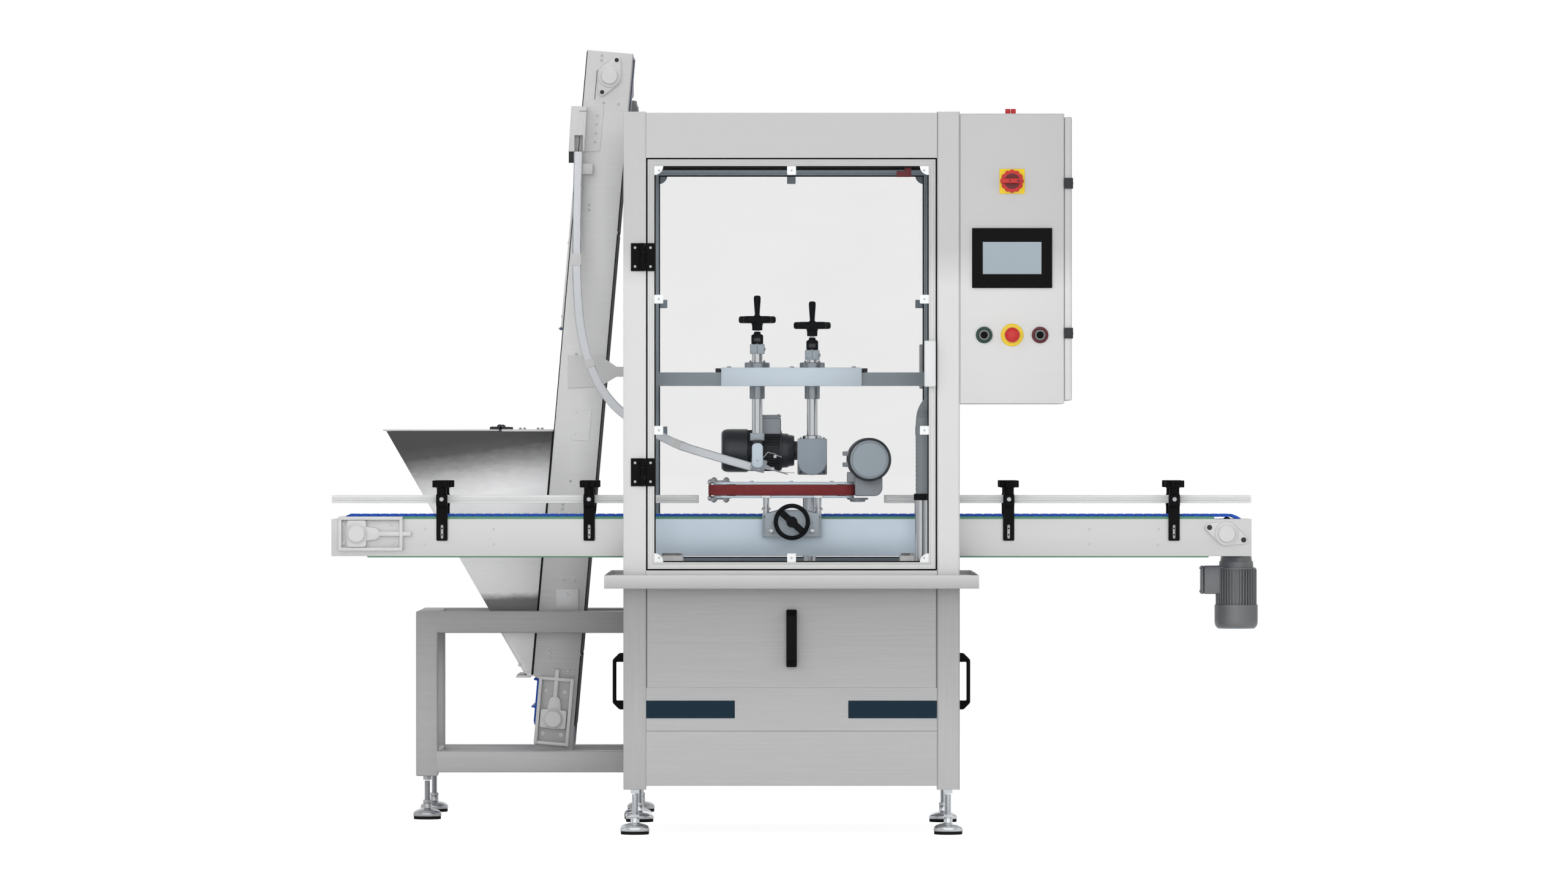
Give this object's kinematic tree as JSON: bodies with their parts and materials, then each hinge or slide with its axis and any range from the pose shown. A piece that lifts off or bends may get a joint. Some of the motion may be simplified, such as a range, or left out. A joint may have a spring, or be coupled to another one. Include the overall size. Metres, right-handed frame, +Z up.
{
  "type": "capping machine",
  "caption": "Enclosed in-line capping machine with glazed doors, side grip belts, slat conveyor, control cabinet, cap elevator with hopper and a bent cap chute.",
  "frame": {"origin": "middle of the whole machine's footprint, on the floor", "axes": "+Z up, +X along the conveyor towards its driven end, -Y towards the operator"},
  "size_m": [2.4886, 1.4644, 2.1225],
  "materials": {
    "steel": "brushed",
    "chrome": "polished",
    "aluminium": "satin",
    "motor_grey": "semi-gloss",
    "black_plastic": "matt",
    "clear_pane": "clear",
    "belt_blue": "matt",
    "rail_white": "satin",
    "belt_red": "matt",
    "signal_red": "gloss",
    "button_green": "gloss",
    "cabinet_grey": "satin"
  },
  "bodies": {
    "machine": {"post_front_left": "steel", "post_front_right": "steel", "post_rear_left": "steel", "post_rear_right": "steel", "top_hood": "steel", "drip_tray": "steel", "base_housing": "steel", "lift_off_panel": "steel", "conveyor_frame": "steel", "elevator_stand": "steel", "elevator_frame": "steel", "hopper": "steel", "tie_bracket": "steel", "foot_front_left": "chrome", "foot_front_right": "chrome", "foot_rear_left": "chrome", "foot_rear_right": "chrome", "support_mast": "chrome", "cross_frame": "aluminium", "column_bridge": "aluminium", "chute_column": "aluminium", "conveyor_gearmotor": "motor_grey", "elevator_gearmotor": "motor_grey", "cable_conduit": "motor_grey", "handle_front": "black_plastic", "handle_rear": "black_plastic", "handle_left": "black_plastic", "handle_right": "black_plastic", "touch_screen": "black_plastic", "side_pane_left": "clear_pane", "side_pane_right": "clear_pane", "conveyor_belt": "belt_blue", "elevator_belt": "belt_blue", "guide_rail_infeed_front": "rail_white", "guide_rail_infeed_rear": "rail_white", "guide_rail_outfeed_front": "rail_white", "guide_rail_outfeed_rear": "rail_white", "cap_chute": "rail_white", "control_cabinet": "cabinet_grey"},
    "front_door": {"front_door_frame": "aluminium", "front_door_pane": "clear_pane"},
    "rear_door": {"rear_door_frame": "aluminium", "rear_door_pane": "clear_pane"},
    "cabinet_door": {"cabinet_door": "cabinet_grey"},
    "hopper_lid": {"hopper_lid": "steel"},
    "main_switch": {"main_switch_knob": "signal_red"},
    "e_stop": {"e_stop_head": "signal_red"},
    "start": {"start_button": "button_green"},
    "stop": {"stop_button": "signal_red"},
    "capping_head": {"head_column": "aluminium", "head_motor": "motor_grey"},
    "head_crank": {"head_crank": "black_plastic"},
    "chute_crank": {"chute_crank": "black_plastic"},
    "width_wheel": {"width_wheel": "black_plastic"},
    "front_grip": {"front_grip_carrier": "aluminium", "front_grip_belt": "belt_red"},
    "rear_grip": {"rear_grip_carrier": "aluminium", "rear_grip_belt": "belt_red"}
  },
  "joints": [
    {"name": "front_door_hinge", "type": "hinge", "parent": "machine", "child": "front_door", "pos_m": [-0.4028, -0.69235, 1.245], "axis": [0, 0, -1], "range_deg": [0, 110]},
    {"name": "rear_door_hinge", "type": "hinge", "parent": "machine", "child": "rear_door", "pos_m": [-0.4028, 0.08805, 1.245], "axis": [0, 0, 1], "range_deg": [0, 80]},
    {"name": "cabinet_door_hinge", "type": "hinge", "parent": "machine", "child": "cabinet_door", "pos_m": [0.724, -0.68565, 1.524], "axis": [0, 0, -1], "range_deg": [0, 110]},
    {"name": "hopper_lid_hinge", "type": "hinge", "parent": "machine", "child": "hopper_lid", "pos_m": [-0.8163, 0.43035, 1.08], "axis": [0, 1, 0], "range_deg": [0, 100]},
    {"name": "main_switch_turn", "type": "hinge", "parent": "machine", "child": "main_switch", "pos_m": [0.574, -0.69315, 1.7285], "axis": [0, 1, 0], "range_deg": [0, 90]},
    {"name": "e_stop_push", "type": "slide", "parent": "machine", "child": "e_stop", "axis": [0, 1, 0], "range_m": [0, 0.0035]},
    {"name": "start_push", "type": "slide", "parent": "machine", "child": "start", "axis": [0, 1, 0], "range_m": [0, 0.003], "stiffness_N_per_m": 400},
    {"name": "stop_push", "type": "slide", "parent": "machine", "child": "stop", "axis": [0, 1, 0], "range_m": [0, 0.003], "stiffness_N_per_m": 400},
    {"name": "head_lift", "type": "slide", "parent": "machine", "child": "capping_head", "axis": [0, 0, 1], "range_m": [0, 0.04]},
    {"name": "head_crank_turn", "type": "hinge", "parent": "capping_head", "child": "head_crank", "pos_m": [0.0467, -0.30215, 1.33], "axis": [0, 0, 1], "continuous": true},
    {"name": "chute_crank_turn", "type": "hinge", "parent": "machine", "child": "chute_crank", "pos_m": [-0.1013, -0.30215, 1.345], "axis": [0, 0, 1], "continuous": true},
    {"name": "width_wheel_turn", "type": "hinge", "parent": "machine", "child": "width_wheel", "pos_m": [-0.0083, -0.30215, 0.8255], "axis": [0, 1, 0], "continuous": true},
    {"name": "front_grip_slide", "type": "slide", "parent": "machine", "child": "front_grip", "axis": [0, -1, 0], "range_m": [-0.02, 0.03]},
    {"name": "rear_grip_slide", "type": "slide", "parent": "machine", "child": "rear_grip", "axis": [0, 1, 0], "range_m": [-0.02, 0.03]}
  ],
  "couplings": [
    {"joint": "rear_grip_slide", "follows": "front_grip_slide", "ratio": 1}
  ]
}
